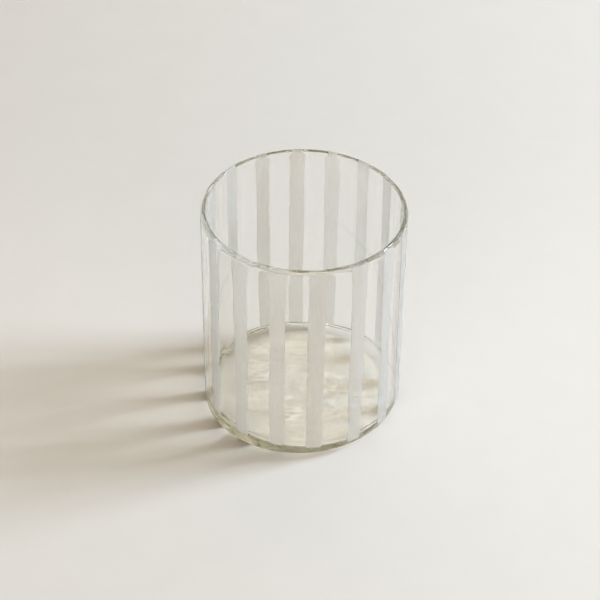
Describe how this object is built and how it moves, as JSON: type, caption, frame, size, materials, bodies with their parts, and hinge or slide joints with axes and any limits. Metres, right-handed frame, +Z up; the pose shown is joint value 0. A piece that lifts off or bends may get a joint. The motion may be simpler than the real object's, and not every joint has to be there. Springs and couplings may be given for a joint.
{
  "type": "drinking tumbler",
  "caption": "Straight-sided clear glass tumbler with a thick base, rounded lip and brushed milky-grey enamel stripes running up the outside wall.",
  "frame": {"origin": "centre of the foot, on the surface that the glass stands on", "axes": "+Z up through the open mouth along the axis of the glass; -Y towards the picture's viewer, +X to the viewer's right"},
  "size_m": [0.0802, 0.0802, 0.095],
  "materials": {
    "clear_glass": "fire-polished soda-lime glass with a faint warm grey-green tint",
    "stripe_enamel": "satin fired enamel, milky pale grey, brushed by hand"
  },
  "bodies": {
    "root": {"glass_body": "clear_glass", "stripe_01": "stripe_enamel", "stripe_02": "stripe_enamel", "stripe_03": "stripe_enamel", "stripe_04": "stripe_enamel", "stripe_05": "stripe_enamel", "stripe_06": "stripe_enamel", "stripe_07": "stripe_enamel", "stripe_08": "stripe_enamel", "stripe_09": "stripe_enamel", "stripe_10": "stripe_enamel", "stripe_11": "stripe_enamel", "stripe_12": "stripe_enamel", "stripe_13": "stripe_enamel", "stripe_14": "stripe_enamel", "stripe_15": "stripe_enamel", "stripe_16": "stripe_enamel"}
  },
  "joints": []
}
